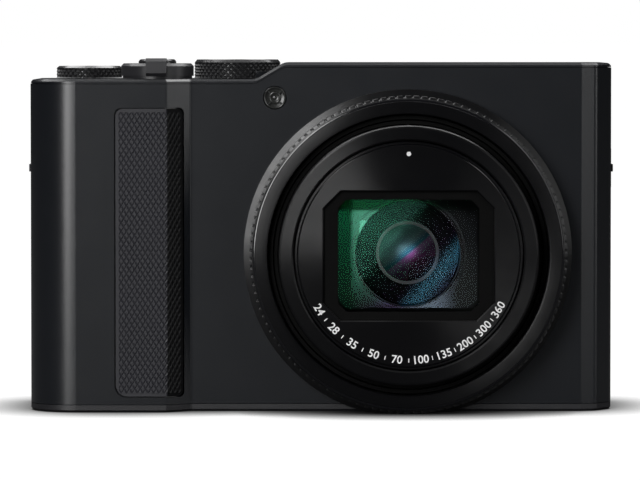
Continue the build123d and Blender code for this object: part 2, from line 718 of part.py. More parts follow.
def barrel_inner():
    """The second moving barrel: a bezel seat, the blade pocket, and the seats of the two front glasses."""
    seat, pocket_end = LENS_FACE + 1.9, LENS_FACE + 3.2
    front_bore, middle_bore = FRONT_GLASS_R + 0.1, MIDDLE_GLASS_R + 0.1
    baffle, middle_end = LENS_FACE + 8.9, LENS_FACE + 13.0
    return turned([
        (INNER_R, INNER_BACK), (INNER_R, LENS_FACE + 0.4), (INNER_R - 0.15, LENS_FACE + 0.25),
        (BEZEL_R + 0.12, LENS_FACE + 0.25), (BEZEL_R + 0.12, seat), (BLADE_POCKET_R, seat),
        (BLADE_POCKET_R, pocket_end), (front_bore + 1.2, pocket_end),
        (front_bore, pocket_end + 0.6), (front_bore, baffle), (middle_bore + 1.0, baffle),
        (middle_bore + 0.7, baffle - 0.7), (middle_bore + 0.15, baffle - 0.7), (middle_bore, baffle - 0.5),
        (middle_bore, middle_end), (12.5, middle_end), (12.5, baffle + 1.7), (INNER_INNER, baffle + 1.7),
        (INNER_INNER, INNER_BACK),
    ])


def lens_bezel():
    """The front plate of the lens: a wide window in front, and a narrower throat behind it."""
    front, shelf, back = LENS_FACE + 0.2, LENS_FACE + 1.1, LENS_FACE + 1.75
    bezel = fore_aft((LENS_X, LENS_Z), BEZEL_R, front, back)
    bezel -= prism_y(window_face(WINDOW, WINDOW_CORNER), -REACH, shelf)
    bezel = chamfer(bezel.faces().sort_by(Axis.Y)[0].edges(), 0.2)
    return bezel - prism_y(window_face(THROAT, 1.6), -REACH, REACH)


def lens_profile(radius, front, edge, back):
    """A glass with a bulging front: its vertex, where its rim starts, and its flat back."""
    rim_start = (LENS_X + radius, edge)
    vertex = (LENS_X, front)
    rise = edge - front
    ball = (radius**2 + rise**2) / (2 * rise)
    middle_x = radius / 2
    middle_y = front + ball - math.sqrt(ball**2 - middle_x**2)
    bulge = ThreePointArc(vertex, (LENS_X + middle_x, middle_y), rim_start)
    sides = Polyline(rim_start, (LENS_X + radius, back), (LENS_X, back), vertex)
    section = Plane.XY.offset(LENS_Z) * make_face(bulge + sides)
    return revolve(section, Axis((LENS_X, 0, LENS_Z), (0, 1, 0)))


def front_lens():
    return lens_profile(FRONT_GLASS_R, LENS_FACE + 3.4, LENS_FACE + 5.6, LENS_FACE + 7.6)


def middle_lens():
    return lens_profile(MIDDLE_GLASS_R, LENS_FACE + 8.6, LENS_FACE + 10.0, LENS_FACE + 12.4)


def rear_lens():
    return lens_profile(REAR_GLASS_R, -8.2, -7.0, -5.0)


def zoom_carriage():
    """The cell of the rear lens group, on a wide spider plate."""
    axis = (LENS_X, LENS_Z)
    cell = fore_aft(axis, 9.0, -9.0, -1.0) + fore_aft(axis, 17.0, -3.4, -1.8)
    for turn in range(3):
        hole = Pos(LENS_X, 0, LENS_Z) * Rot(0, 120 * turn, 0) * fore_aft((12.8, 0), 2.6, -5, 0)
        cell -= hole
    cell -= fore_aft(axis, REAR_GLASS_R + 0.1, -10, -4.9)
    return cell - fore_aft(axis, REAR_GLASS_R - 0.8, -10, 0)


def barrier_blade(layer, side, height_low):
    """One shutter leaf, parked above or below the window inside the round pocket."""
    front = LENS_FACE + 2.05 + layer * (BLADE_THICK + 0.2)
    low, high = height_low, height_low + BLADE_HEIGHT
    z = (LENS_Z + low, LENS_Z + high) if side > 0 else (LENS_Z - high, LENS_Z - low)
    leaf = block((LENS_X - BLADE_HALF_WIDTH, LENS_X + BLADE_HALF_WIDTH), (front, front + BLADE_THICK), z)
    return leaf & fore_aft((LENS_X, LENS_Z), BLADE_R, -REACH, 0)


PIECES = {
    "front_cover": front_cover,
    "rear_cover": rear_cover,
    "top_cover": top_cover,
    "bottom_plate": bottom_plate,
    "main_chassis": main_chassis,
    "main_board": main_board,
    "image_sensor": image_sensor,
    "flash_capacitor": flash_capacitor,
    "speaker": speaker,
    "microphones": microphones,
    "af_lamp": af_lamp,
    "grip_insert": grip_insert,
    "thumb_rest": thumb_rest,
    "strap_lugs": strap_lugs,
    "base_screws": base_screws,
    "side_screws": side_screws,
    "tripod_bush": tripod_bush,
    "battery": battery,
    "battery_box": battery_box,
    "memory_card": memory_card,
    "battery_door": battery_door,
    "door_latch": door_latch,
    "port_door": port_door,
    "sockets": sockets,
    "evf_housing": evf_housing,
    "eyepiece_glass": eyepiece_glass,
    "dioptre_dial": dioptre_dial,
    "lcd_glass": lcd_glass,
    "lcd_module": lcd_module,
    "four_way_pad": four_way_pad,
    "set_button": set_button,
    "mode_dial": mode_dial,
    "rear_dial": rear_dial,
    "zoom_lever": zoom_lever,
    "shutter_button": shutter_button,
    "movie_button": movie_button,
    "power_switch": power_switch,
    "flash_head": flash_head,
    "flash_window": flash_window,
    "flash_switch": flash_switch,
    "lens_flange": lens_flange,
    "control_ring": control_ring,
    "lens_housing": lens_housing,
    "cam_barrel": cam_barrel,
    "zoom_gear": zoom_gear,
    "zoom_motor": zoom_motor,
    "barrel_outer": barrel_outer,
    "barrel_inner": barrel_inner,
    "lens_bezel": lens_bezel,
    "front_lens": front_lens,
    "middle_lens": middle_lens,
    "zoom_carriage": zoom_carriage,
    "rear_lens": rear_lens,
    "upper_inner_blade": lambda: barrier_blade(0, 1, 10.75),
    "upper_outer_blade": lambda: barrier_blade(1, 1, 10.95),
    "lower_inner_blade": lambda: barrier_blade(0, -1, 10.75),
    "lower_outer_blade": lambda: barrier_blade(1, -1, 10.95),
}
for button_name, button_place in BUTTONS.items():
    PIECES[button_name] = lambda place=button_place: press_button(place, BUTTON_R, 0.6)

os.makedirs("parts", exist_ok=True)
for name, make in PIECES.items():
    piece = make()
    solids = piece if isinstance(piece, list) else piece.solids()
    export_step(Compound(children=list(solids)) if len(solids) > 1 else solids[0], f"parts/{name}.step")
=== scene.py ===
import json
import math

import bmesh
import bpy
from mathutils import Matrix, Vector


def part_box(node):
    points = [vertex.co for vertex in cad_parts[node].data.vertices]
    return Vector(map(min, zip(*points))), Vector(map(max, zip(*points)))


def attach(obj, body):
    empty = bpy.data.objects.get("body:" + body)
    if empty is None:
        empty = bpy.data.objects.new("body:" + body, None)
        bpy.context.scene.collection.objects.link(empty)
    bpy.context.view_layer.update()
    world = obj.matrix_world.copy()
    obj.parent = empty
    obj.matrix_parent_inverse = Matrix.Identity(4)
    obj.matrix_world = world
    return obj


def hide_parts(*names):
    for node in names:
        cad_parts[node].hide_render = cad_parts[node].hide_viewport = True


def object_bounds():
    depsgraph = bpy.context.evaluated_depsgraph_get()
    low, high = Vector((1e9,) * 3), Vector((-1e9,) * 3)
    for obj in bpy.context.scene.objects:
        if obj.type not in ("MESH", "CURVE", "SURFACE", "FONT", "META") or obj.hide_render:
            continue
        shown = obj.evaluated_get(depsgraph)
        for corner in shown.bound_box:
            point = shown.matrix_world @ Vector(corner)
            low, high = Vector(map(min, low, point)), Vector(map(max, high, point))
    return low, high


# The looks of a compact digital camera, in metres, in the frame of its CAD model.
# X runs to the right seen from in front of the lens, Y runs from the lens to the screen, Z is up.

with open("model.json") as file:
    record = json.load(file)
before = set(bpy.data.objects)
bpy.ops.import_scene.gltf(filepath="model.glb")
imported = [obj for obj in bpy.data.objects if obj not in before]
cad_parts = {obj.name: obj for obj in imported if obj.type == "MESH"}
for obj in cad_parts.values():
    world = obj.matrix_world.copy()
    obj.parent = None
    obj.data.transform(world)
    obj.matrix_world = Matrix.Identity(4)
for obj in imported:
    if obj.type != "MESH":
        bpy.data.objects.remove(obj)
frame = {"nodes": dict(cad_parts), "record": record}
cad_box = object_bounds()
MM = 0.001

# ---- directions a piece's own +Z can point in ----
UPRIGHT = Matrix.Identity(4)
FORWARD = Matrix.Rotation(math.radians(90), 4, "X")
BACKWARD = Matrix.Rotation(math.radians(180), 4, "Z") @ FORWARD


def centre_of(node):
    low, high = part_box(node)
    return (low + high) / 2


# ---- places read from the frame ----
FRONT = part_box("lens_flange")[1].y
GRIP_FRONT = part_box("grip_insert")[0].y
LENS_X, LENS_Z = centre_of("lens_bezel").x, centre_of("lens_bezel").z
BEZEL_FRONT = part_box("lens_bezel")[0].y
BEZEL_R = (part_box("lens_bezel")[1].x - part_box("lens_bezel")[0].x) / 2
MIDDLE_CELL_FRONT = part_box("middle_lens")[0].y
REAR_CELL_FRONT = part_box("zoom_carriage")[0].y

# ---- how far the grip insert runs flat before it folds ----
GRIP_FLAT = 9.7 * MM

# ---- the window in the bezel and its throat: width, height and how much of each corner is cut off ----
WINDOW = (32.2 * MM, 24.4 * MM, 3.3 * MM)
THROAT = (26.6 * MM, 21.2 * MM, 1.6 * MM)


# ================================================================ node helpers
def add_node(material, kind, settings=None, **inputs):
    """A shader node with its settings and inputs; an input is a value or another node's output."""
    node = material.node_tree.nodes.new(kind)
    for name, value in (settings or {}).items():
        setattr(node, name, value)
    for name, value in inputs.items():
        socket = node.inputs[name.replace("_", " ")]
        if isinstance(value, bpy.types.NodeSocket):
            material.node_tree.links.new(value, socket)
        else:
            socket.default_value = value
    return node


def link(material, output, socket):
    material.node_tree.links.new(output, socket)


def new_material(name, **constants):
    """A Principled material; constants are set on the shader's own sockets."""
    material = bpy.data.materials.new(name)
    material.use_nodes = True
    shader = material.node_tree.nodes["Principled BSDF"]
    for socket, value in constants.items():
        shader.inputs[socket.replace("_", " ")].default_value = value
    return material, shader


def object_space(material, scale=(1, 1, 1)):
    coordinates = add_node(material, "ShaderNodeTexCoord")
    mapping = add_node(material, "ShaderNodeMapping", Vector=coordinates.outputs["Object"], Scale=scale)
    return mapping.outputs[0]


def noise(material, vector, size, detail=2.0):
    """Noise whose features are about size metres across."""
    texture = add_node(material, "ShaderNodeTexNoise", Vector=vector, Scale=1.0 / size, Detail=detail)
    return texture.outputs["Fac"]


def remap(material, value, low, high, from_low=0.3, from_high=0.7):
    return add_node(material, "ShaderNodeMapRange", Value=value, From_Min=from_low, From_Max=from_high,
                    To_Min=low, To_Max=high).outputs["Result"]


def arithmetic(material, operation, *values):
    node = add_node(material, "ShaderNodeMath", {"operation": operation, "use_clamp": True})
    for socket, value in zip(node.inputs, values):
        if isinstance(value, bpy.types.NodeSocket):
            link(material, value, socket)
        else:
            socket.default_value = value
    return node.outputs[0]


def blend_colours(material, factor, first, second):
    """From the first colour to the second; either may be another node's output."""
    node = add_node(material, "ShaderNodeMix", {"data_type": "RGBA"})
    link(material, factor, node.inputs["Factor"])
    for socket, colour in ((node.inputs[6], first), (node.inputs[7], second)):
        if isinstance(colour, bpy.types.NodeSocket):
            link(material, colour, socket)
        else:
            socket.default_value = (*colour, 1)
    return node.outputs[2]


def multiply_colours(material, first, second):
    node = add_node(material, "ShaderNodeMix", {"data_type": "RGBA", "blend_type": "MULTIPLY"}, Factor=1.0)
    link(material, first, node.inputs[6])
    link(material, second, node.inputs[7])
    return node.outputs[2]


def finish_with_grain(material, shader, colour, tone, roughness, spread, grain, height):
    """Colour and gloss that drift a little over the surface, with a fine grain that shows in close-ups."""
    place = object_space(material)
    broad = noise(material, place, 18 * MM)
    dark = tuple(channel * (1 - tone) for channel in colour)
    light = tuple(channel * (1 + tone) for channel in colour)
    drift = blend_colours(material, remap(material, broad, 0, 1), dark, light)
    fine = noise(material, place, grain, detail=3.0)
    speckle = blend_colours(material, remap(material, fine, 0, 0.35), drift, light)
    link(material, speckle, shader.inputs["Base Color"])
    patchy = noise(material, place, 4 * MM)
    gloss = remap(material, patchy, roughness - spread, roughness + spread)
    link(material, gloss, shader.inputs["Roughness"])
    bump = add_node(material, "ShaderNodeBump", Strength=0.6, Distance=height, Height=fine)
    link(material, bump.outputs["Normal"], shader.inputs["Normal"])


# ================================================================ finishes
def paint_like(name, colour, roughness, grain=0.16 * MM, height=0.006 * MM, tone=0.12, spread=0.03,
               **constants):
    material, shader = new_material(name, **constants)
    finish_with_grain(material, shader, colour, tone, roughness, spread, grain, height)
    return material


def rubber_finish(name, colour, roughness):
    """Soft rubber, with painted shade that darkens the part of the grip that folds round its inner edge."""
    material = paint_like(name, colour, roughness, grain=0.1 * MM, height=0.004 * MM)
    shader = material.node_tree.nodes["Principled BSDF"]
    place = add_node(material, "ShaderNodeTexCoord").outputs["Object"]
    # Painted shade: past the fold and near the front, the rubber's colour is blended to near black.
    split = add_node(material, "ShaderNodeSeparateXYZ", Vector=place)
    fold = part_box("grip_insert")[0].x + GRIP_FLAT
    shaded_past_fold = remap(material, split.outputs["X"], 0, 1, fold, fold + 0.2 * MM)
    in_front = remap(material, split.outputs["Y"], 1, 0, 0, 1 * MM)
    dark = arithmetic(material, "MULTIPLY", shaded_past_fold, in_front)
    source = shader.inputs["Base Color"].links[0].from_socket
    folded = blend_colours(material, dark, source, (0.001, 0.001, 0.0015))
    link(material, folded, shader.inputs["Base Color"])
    return material


def turned_finish(name, colour, roughness, gloss):
    """Black anodised metal with the fine concentric lines of turning, which spread light across the lines."""
    material, shader = new_material(name, Anisotropic=0.91, Anisotropic_Rotation=0.25,
                                    Specular_IOR_Level=gloss)
    finish_with_grain(material, shader, colour, 0.1, roughness, 0.03, 0.12 * MM, 0.003 * MM)
    tangent = add_node(material, "ShaderNodeTangent", {"direction_type": "RADIAL", "axis": "Y"})
    link(material, tangent.outputs["Tangent"], shader.inputs["Tangent"])
    return material


def domed_finish(name, colour, roughness, gloss, lean):
    """Turned metal whose faces fall away from the lens axis, lean metres for each metre outwards."""
    material = turned_finish(name, colour, roughness, gloss)
    shader = material.node_tree.nodes["Principled BSDF"]
    reach = 40 * MM
    fall = from_axis(material, reach, 0)
    grain = shader.inputs["Normal"].links[0].from_socket
    dome = add_node(material, "ShaderNodeBump", Strength=1.0, Distance=lean * reach, Height=fall,
                    Normal=grain)
    link(material, dome.outputs["Normal"], shader.inputs["Normal"])
    return material


def glass_with_painted_reflections(name, tint, strength, roughness=0.02):
    """Clear glass whose reflections take a colour set by place across it: partly a coating's tint, partly
    painted reflection colour and brightness.
    """
    material = bpy.data.materials.new(name)
    material.use_nodes = True
    tree = material.node_tree
    tree.nodes.remove(tree.nodes["Principled BSDF"])
    clear = add_node(material, "ShaderNodeBsdfTransparent", Color=(0.93, 0.95, 0.94, 1))
    mirror = add_node(material, "ShaderNodeBsdfGlossy", Roughness=roughness)
    link(material, tint(material), mirror.inputs["Color"])
    facing = add_node(material, "ShaderNodeFresnel", IOR=1.5).outputs[0]
    share = arithmetic(material, "MULTIPLY", facing, strength)
    mixed = add_node(material, "ShaderNodeMixShader", Fac=share)
    link(material, clear.outputs[0], mixed.inputs[1])
    link(material, mirror.outputs[0], mixed.inputs[2])
    link(material, mixed.outputs[0], tree.nodes["Material Output"].inputs["Surface"])
    return material


def along(material, angle, reach):
    """How far a point lies towards an angle about the lens axis: 0 to 1 over reach to either side."""
    place = add_node(material, "ShaderNodeTexCoord").outputs["Object"]
    middle = add_node(material, "ShaderNodeVectorMath", {"operation": "SUBTRACT"})
    link(material, place, middle.inputs[0])
    middle.inputs[1].default_value = (LENS_X, 0, LENS_Z)
    reached = add_node(material, "ShaderNodeVectorMath", {"operation": "DOT_PRODUCT"})
    link(material, middle.outputs["Vector"], reached.inputs[0])
    reached.inputs[1].default_value = (math.cos(math.radians(angle)), 0, math.sin(math.radians(angle)))
    return remap(material, reached.outputs["Value"], 0, 1, -reach, reach)


def from_axis(material, low, high):
    """How far a point lies from the lens axis: 0 at low and 1 at high."""
    place = add_node(material, "ShaderNodeTexCoord").outputs["Object"]
    split = add_node(material, "ShaderNodeSeparateXYZ", Vector=place)
    flat = add_node(material, "ShaderNodeCombineXYZ", X=split.outputs["X"], Y=split.outputs["Z"])
    distance = add_node(material, "ShaderNodeVectorMath", {"operation": "DISTANCE"})
    link(material, flat.outputs[0], distance.inputs[0])
    distance.inputs[1].default_value = (LENS_X, LENS_Z, 0)
    return remap(material, distance.outputs["Value"], 0, 1, low, high)


def ramp(material, factor, stops):
    """Colours at places from 0 to 1, blended smoothly between them."""
    node = add_node(material, "ShaderNodeValToRGB", Fac=factor)
    node.color_ramp.interpolation = "EASE"
    elements = node.color_ramp.elements
    while len(elements) < len(stops):
        elements.new(1.0)
    for element, (place, colour) in zip(elements, stops):
        element.position = place
        element.color = (*colour, 1)
    return node.outputs["Color"]


def front_tint_and_painted_reflection(material):
    """Painted reflection colour over a coating's tint: green at the upper left, grey at the right, lavender
    at the bottom, and painted dimmer over the inner cell.
    """
    # These colours by place paint where the glass's reflections look bright, dark and tinted.
    right, up = along(material, 0, 14 * MM), along(material, 90, 10 * MM)
    upper = ramp(material, right, (
        (0.10, (0.01, 0.16, 0.07)), (0.14, (0.16, 0.72, 0.46)), (0.34, (0.18, 0.68, 0.48)),
        (0.72, (0.03, 0.03, 0.03)), (0.95, (0.008, 0.008, 0.01)),
    ))
    lower = ramp(material, right, (
        (0.10, (0.01, 0.03, 0.02)), (0.22, (0.03, 0.03, 0.04)), (0.38, (0.07, 0.05, 0.11)),
        (0.66, (0.26, 0.32, 0.42)), (0.85, (0.04, 0.045, 0.05)),
    ))
    below_top = ramp(material, up, ((0.90, (1, 1, 1)), (0.93, (0.08, 0.2, 0.12))))
    painted_dim_over_cell = ramp(material, from_axis(material, 9.9 * MM, 10.2 * MM), (
        (0.0, (0.06, 0.06, 0.06)), (1.0, (1, 1, 1)),
    ))
    tinted = blend_colours(material, up, lower, upper)
    return multiply_colours(material, multiply_colours(material, tinted, below_top), painted_dim_over_cell)


def middle_tint_and_painted_reflection(material):
    """Painted reflection colour over a coating's tint: green at the upper left, black across the middle and
    blue at the lower right.
    """
    return ramp(material, along(material, -40, 10 * MM), (
        (0.05, (0.07, 0.26, 0.19)), (0.28, (0.06, 0.17, 0.14)), (0.38, (0.005, 0.008, 0.008)),
        (0.70, (0.012, 0.003, 0.014)), (0.86, (0.10, 0.30, 0.46)), (0.98, (0.09, 0.10, 0.18)),
    ))


def rear_tint_and_painted_reflection(material):
    """Painted reflection colour over a coating's tint: pale blue at the upper left, magenta just past the
    middle and dark red beyond it.
    """
    return ramp(material, along(material, -50, 5 * MM), (
        (0.0, (0.10, 0.35, 0.35)), (0.35, (0.40, 0.66, 0.85)), (0.5, (0.10, 0.42, 0.75)),
        (0.56, (0.75, 0.22, 0.80)), (0.72, (0.30, 0.03, 0.20)), (1.0, (0.25, 0.02, 0.05)),
    ))


def screen_finish():
    """Glossy black glass over a screen whose lit area is a shade lighter than its printed border."""
    low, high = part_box("lcd_module")
    border, edge = 3.0 * MM, 0.3 * MM
    material, shader = new_material("screen_finish", Roughness=0.06, Coat_Weight=1.0, Coat_Roughness=0.03)
    place = add_node(material, "ShaderNodeTexCoord").outputs["Object"]
    split = add_node(material, "ShaderNodeSeparateXYZ", Vector=place)
    limits = []
    sides = ("X", low.x + border, high.x - border), ("Z", low.z + border, high.z - border)
    for axis, lowest, highest in sides:
        limits.append(remap(material, split.outputs[axis], 0, 1, lowest, lowest + edge))
        limits.append(remap(material, split.outputs[axis], 1, 0, highest - edge, highest))
    inside = limits[0]
    for limit in limits[1:]:
        inside = arithmetic(material, "MULTIPLY", inside, limit)
    shade = blend_colours(material, inside, (0.004, 0.004, 0.005), (0.016, 0.017, 0.021))
    link(material, shade, shader.inputs["Base Color"])
    return material


# ================================================================ mesh helpers
def new_piece(name, vertices, faces, finish, body, sharp=30):
    """A mesh piece in the frame's own place, smooth except where faces meet at more than sharp degrees."""
    mesh = bpy.data.meshes.new(name)
    mesh.from_pydata(vertices, [], faces)
    model = bmesh.new()
    model.from_mesh(mesh)
    bmesh.ops.recalc_face_normals(model, faces=model.faces)
    model.to_mesh(mesh)
    model.free()
    mesh.shade_smooth()
    mesh.set_sharp_from_angle(angle=math.radians(sharp))
    mesh.materials.append(finish)
    piece = bpy.data.objects.new(name, mesh)
    bpy.context.scene.collection.objects.link(piece)
    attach(piece, body)
    return piece


def placed(vertices, place, direction):
    matrix = Matrix.Translation(place) @ direction
    return [matrix @ Vector(vertex) for vertex in vertices]


def lathe(profile, segments, closed=True, ripple=None):
    """Turns (radius, height) corners about Z. ripple(corner, angle) is what is cut off a corner's radius."""
    vertices, faces = [], []
    for segment in range(segments):
        angle = math.tau * segment / segments
        for corner, (radius, height) in enumerate(profile):
            cut = ripple(corner, angle) if ripple else 0
            vertices.append(((radius - cut) * math.cos(angle), (radius - cut) * math.sin(angle), height))
    count = len(profile)
    spans = count if closed else count - 1
    for segment in range(segments):
        here, after = segment * count, (segment + 1) % segments * count
        for corner in range(spans):
            following = (corner + 1) % count
            faces.append((here + corner, after + corner, after + following, here + following))
    return vertices, faces


def diamonds(columns, rows, surface, top, closed=False):
    """A field of flat-topped diamonds on a grid of half diamonds, top being a flat top's share of each.
    surface(column, row, height) places a point, with height 0 in the grooves and 1 on the tops."""
    vertices, faces = [], []
    width = columns if closed else columns + 1
    for row in range(rows + 1):
        for column in range(width):
            if (column + row) % 2:
                continue
            start = len(vertices)
            for step, rise in ((1, 0), (0, 1), (-1, 0), (0, -1)):
                if not closed and not 0 <= column + step <= columns:
                    step = 0
                if not 0 <= row + rise <= rows:
                    rise = 0
                vertices.append(surface(column + step, row + rise, 0.0))
                vertices.append(surface(column + top * step, row + top * rise, 1.0))
            faces.append(tuple(start + 2 * corner + 1 for corner in range(4)))
            for corner in range(4):
                foot, after = start + 2 * corner, start + 2 * ((corner + 1) % 4)
                faces.append((foot, after, after + 1, foot + 1))
    return vertices, faces


def joined(*shapes):
    """Several (vertices, faces) shapes as one."""
    vertices, faces = [], []
    for more_vertices, more_faces in shapes:
        start = len(vertices)
        vertices += list(more_vertices)
        faces += [tuple(start + index for index in face) for face in more_faces]
    return vertices, faces


def moved(shape, matrix):
    vertices, faces = shape
    return [matrix @ Vector(vertex) for vertex in vertices], faces


def plate(outline, thickness, bevel=0.04 * MM):
    """A flat plate on z = 0 from its outline, with its upper edge drawn in by bevel."""
    count = len(outline)
    middle = Vector((sum(x for x, _ in outline) / count, sum(y for _, y in outline) / count))
    drawn_in = []
    for x, y in outline:
        towards = middle - Vector((x, y))
        drawn_in.append(Vector((x, y)) + towards * min(0.45, bevel / max(towards.length, bevel)))
    vertices = [(x, y, 0) for x, y in outline]
    vertices += [(x, y, thickness - bevel) for x, y in outline]
    vertices += [(point.x, point.y, thickness) for point in drawn_in]
    faces = [tuple(range(count)), tuple(range(2 * count, 3 * count))]
    for level in (0, count):
        for corner in range(count):
            after = (corner + 1) % count
            faces.append((level + corner, level + after, level + count + after, level + count + corner))
    return vertices, faces


def slot_outline(length, width, steps=8):
    """A rectangle with round ends, along X."""
    outline = []
    for end in (1, -1):
        for step in range(steps + 1):
            angle = -math.pi / 2 + math.pi * step / steps
            outline.append((end * ((length - width) / 2 + width / 2 * math.cos(angle)),
                            end * width / 2 * math.sin(angle)))
    return outline


def circle_outline(radius, steps=24):
    angles = [math.tau * step / steps for step in range(steps)]
    return [(radius * math.cos(angle), radius * math.sin(angle)) for angle in angles]


def numerals(text, height, relief=0.02 * MM, weight=0.0):
    """Digits standing on z = 0 and centred on the origin."""
    curve = bpy.data.curves.new("numerals", "FONT")
    curve.body = text
    curve.size = height / 0.7
    curve.align_x, curve.align_y = "CENTER", "CENTER"
    curve.extrude = relief / 2
    curve.offset = weight
    curve.resolution_u = 3
    sample = bpy.data.objects.new("numerals", curve)
    bpy.context.scene.collection.objects.link(sample)
    bpy.context.view_layer.update()
    mesh = bpy.data.meshes.new_from_object(sample.evaluated_get(bpy.context.evaluated_depsgraph_get()))
    shape = [vertex.co.copy() for vertex in mesh.vertices], [tuple(face.vertices) for face in mesh.polygons]
    bpy.data.objects.remove(sample)
    return shape


def on_circle(radius, angle, turn=0.0, height=0.0):
    """The place on a circle about Z at that angle, turned by turn about its own middle; angles in degrees."""
    spot = (radius * math.cos(math.radians(angle)), radius * math.sin(math.radians(angle)), height)
    return Matrix.Translation(spot) @ Matrix.Rotation(math.radians(turn), 4, "Z")


# ================================================================ the lens
def tooth_cut(angle, count, depth):
    """How deep a rib pattern is cut at an angle: narrow notches between broad ribs."""
    phase = angle * count / math.tau % 1
    half_notch = 0.2
    return depth * max(0, 1 - abs(phase - 0.5) / half_notch)


def build_control_ring():
    """Fine ribs run along the ring's side; a polished rim parts them from its broad, plain front."""
    low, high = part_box("control_ring")
    radius, length = (high.x - low.x) / 2, high.y - low.y
    ribs, rib_height, points_per_rib = 120, 0.4 * MM, 10
    smooth = radius - 0.42 * MM
    rim = radius - 0.9 * MM
    bore = radius - 3.45 * MM
    place = (LENS_X, high.y, LENS_Z)
    ribbed_corners = (0, 1)

    def ripple(corner, angle):
        return tooth_cut(angle, ribs, rib_height) if corner in ribbed_corners else 0

    side = [(radius, 0.2 * MM), (radius, length - 0.85 * MM), (smooth, length - 0.7 * MM),
            (smooth, length - 0.5 * MM), (rim, length - 0.24 * MM), (rim, 0), (smooth, 0)]
    vertices, faces = lathe(side, ribs * points_per_rib, ripple=ripple)
    ring = new_piece("control_ring_ribbed", placed(vertices, place, FORWARD), faces,
                     FINISH["lens_black"], "control_ring", 25)
    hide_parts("control_ring")
    front = [(rim, length - 0.3 * MM), (rim - 0.2 * MM, length - 0.08 * MM), (bore + 0.5 * MM, length),
             (bore + 0.15 * MM, length - 0.1 * MM), (bore, length - 0.4 * MM), (bore, 0.02 * MM),
             (rim, 0.02 * MM)]
    vertices, faces = lathe(front, 240)
    new_piece("control_ring_front", placed(vertices, place, FORWARD), faces,
              FINISH["face_black"], "control_ring", 25)
    build_rim("control_ring_rim", rim + 0.26 * MM, length - 0.28 * MM, high.y, "control_ring")


def build_rim(name, radius, height, base, body):
    """A thin polished edge about the lens axis that rolls over to its front, height in front of base."""
    foot, inner = height - 0.15 * MM, radius - 0.38 * MM
    profile = [
        (radius, foot), (radius, height), (radius - 0.13 * MM, height + 0.07 * MM),
        (radius - 0.26 * MM, height + 0.11 * MM), (inner, height + 0.125 * MM), (inner, foot),
    ]
    vertices, faces = lathe(profile, 240)
    new_piece(name, placed(vertices, (LENS_X, base, LENS_Z), FORWARD), faces,
              FINISH["gloss_black"], body, 40)


def build_focal_scale():
    """Focal lengths along the lower part of the bezel, ticks between them, and an index dot at its top."""
    lengths = ("24", "28", "35", "50", "70", "100", "135", "200", "300", "360")
    first, last = 211, 329
    radius, height, relief, weight = BEZEL_R - 1.25 * MM, 1.5 * MM, 0.02 * MM, 0.03 * MM
    step = (last - first) / (len(lengths) - 1)
    marks = []
    for index, length in enumerate(lengths):
        angle = first + index * step
        marks.append(moved(numerals(length, height, relief, weight), on_circle(radius, angle, angle - 270)))
        if index < len(lengths) - 1:
            tick = plate(slot_outline(0.8 * MM, 0.18 * MM), relief, relief / 4)
            marks.append(moved(tick, on_circle(radius, angle + step / 2, angle + step / 2)))
    dot = plate(circle_outline(0.42 * MM), relief, relief / 4)
    marks.append(moved(dot, on_circle(radius - 0.5 * MM, 90)))
    vertices, faces = joined(*marks)
    vertices = placed(vertices, (LENS_X, BEZEL_FRONT, LENS_Z), FORWARD)
    new_piece("focal_scale", vertices, faces, FINISH["white_ink"], "barrel_inner")


def build_window_dark_sheet():
    """A dull black sheet over the walls and the shelf of the bezel's window, down to its throat, which makes
    the recess darker.
    """
    depths = (0.24 * MM, 0.88 * MM, 0.88 * MM, 1.5 * MM)
    gap = 0.02 * MM
    vertices, faces = [], []
    for depth, (width, height, cut) in zip(depths, (WINDOW, WINDOW, THROAT, THROAT)):
        across, up = width / 2 - gap, height / 2 - gap
        for x, y in ((across, up - cut), (across - cut, up), (cut - across, up), (-across, up - cut),
                     (-across, cut - up), (cut - across, -up), (across - cut, -up), (across, cut - up)):
            vertices.append((x, y, -depth))
    for level in range(3):
        for corner in range(8):
            after = (corner + 1) % 8
            low, high = 8 * level, 8 * level + 8
            faces.append((low + corner, high + corner, high + after, low + after))
    new_piece("window_dark_sheet", placed(vertices, (LENS_X, BEZEL_FRONT, LENS_Z), FORWARD), faces,
              FINISH["deep_black"], "barrel_inner")


def build_lens_rings():
    """The polished edge round the middle glass, and the pale ring that holds the rear group."""
    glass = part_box("middle_lens")
    radius = (glass[1].x - glass[0].x) / 2
    lip = MIDDLE_CELL_FRONT - 0.45 * MM
    thin = [(radius + 0.05 * MM, -0.25 * MM), (radius + 0.1 * MM, 0), (radius + 0.2 * MM, 0.06 * MM),
            (radius + 0.32 * MM, 0), (radius + 0.34 * MM, -0.25 * MM)]
    vertices, faces = lathe(thin, 160)
    new_piece("middle_cell_edge", placed(vertices, (LENS_X, lip, LENS_Z), FORWARD), faces,
              FINISH["polished_edge"], "barrel_inner")
    inner, outer = 5.45 * MM, 6.0 * MM
    pale = [(inner, -0.6 * MM), (inner, 0.12 * MM), (inner + 0.15 * MM, 0.22 * MM),
            (outer - 0.1 * MM, 0.22 * MM), (outer, 0.1 * MM), (outer, -0.6 * MM)]
    vertices, faces = lathe(pale, 120)
    new_piece("rear_group_retainer", placed(vertices, (LENS_X, REAR_CELL_FRONT, LENS_Z), FORWARD), faces,
              FINISH["pale_ring"], "zoom_carriage")


def dome(radius, rise, rings=10, segments=72):
    """A glass surface that bulges along +Z, its rim on z = 0."""
    ball = (radius ** 2 + rise ** 2) / (2 * rise)
    profile = []
    for ring in range(rings + 1):
        out = radius * (1 - ring / rings)
        profile.append((max(out, 0.001 * MM), math.sqrt(ball ** 2 - out ** 2) - (ball - rise)))
    return lathe(profile, segments, closed=False)


